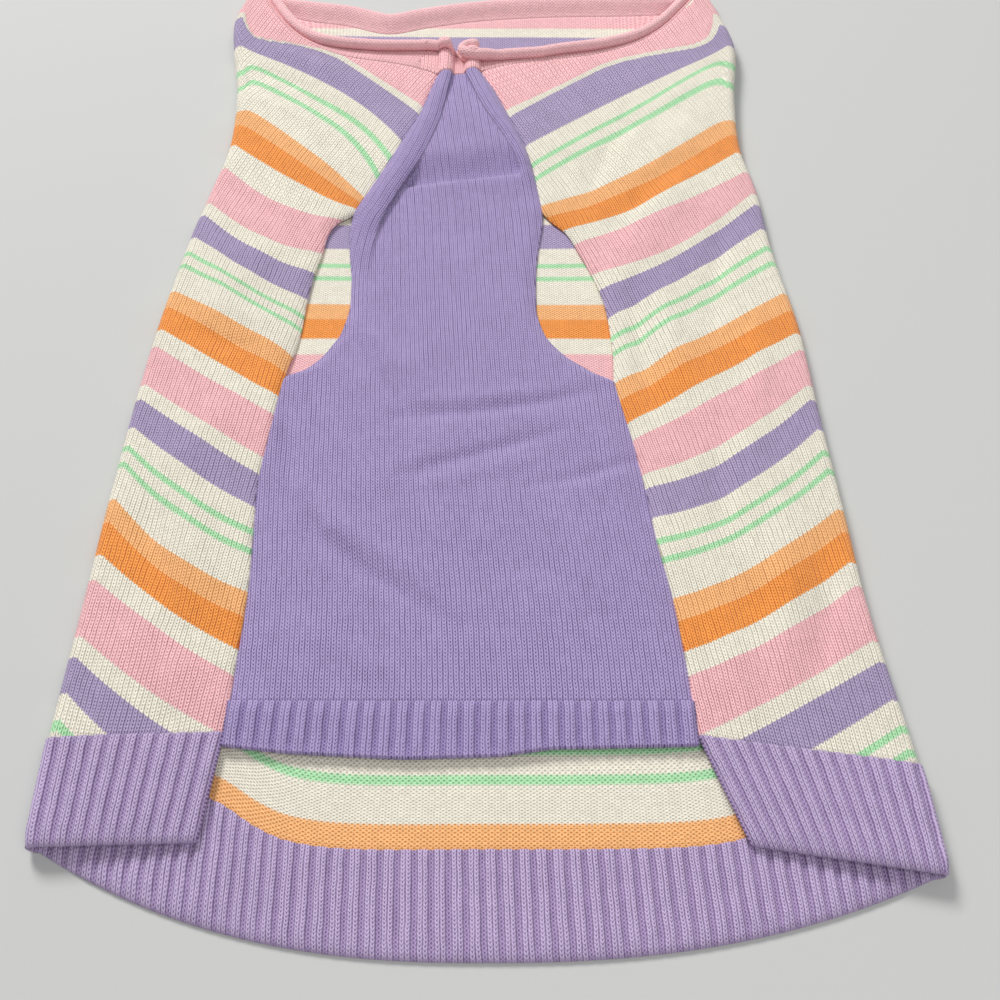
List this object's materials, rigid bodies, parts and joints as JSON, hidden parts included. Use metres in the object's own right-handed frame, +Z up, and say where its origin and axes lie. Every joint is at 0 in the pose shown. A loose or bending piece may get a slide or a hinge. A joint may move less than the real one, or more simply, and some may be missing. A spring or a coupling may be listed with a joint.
{
  "type": "dog sweater",
  "caption": "Knitted dog sweater laid flat, belly side up, with a striped body, leg holes, a plain belly panel, ribbed hems and a rolled neck band.",
  "frame": {"origin": "on the floor under the centre of the laid sweater", "axes": "+Z up out of the belly side, +Y along the garment to the neck, +X to the right of someone who stands at the hem and looks at the belly side"},
  "size_m": [0.2976, 0.5206, 0.0122],
  "materials": {
    "striped_knit": "striped stockinette knit in cream, pink, lilac, mint and orange, matt",
    "lilac_rib": "two by one rib knit, matt",
    "lilac_knit": "plain stockinette knit, matt",
    "pink_knit": "plain knit with the purl side of its rolled edge outward, matt"
  },
  "bodies": {
    "root": {"back_panel": "striped_knit", "hem_band": "lilac_rib", "belly_panel": "lilac_knit", "belly_hem": "lilac_rib", "neck_band": "pink_knit"}
  },
  "joints": []
}
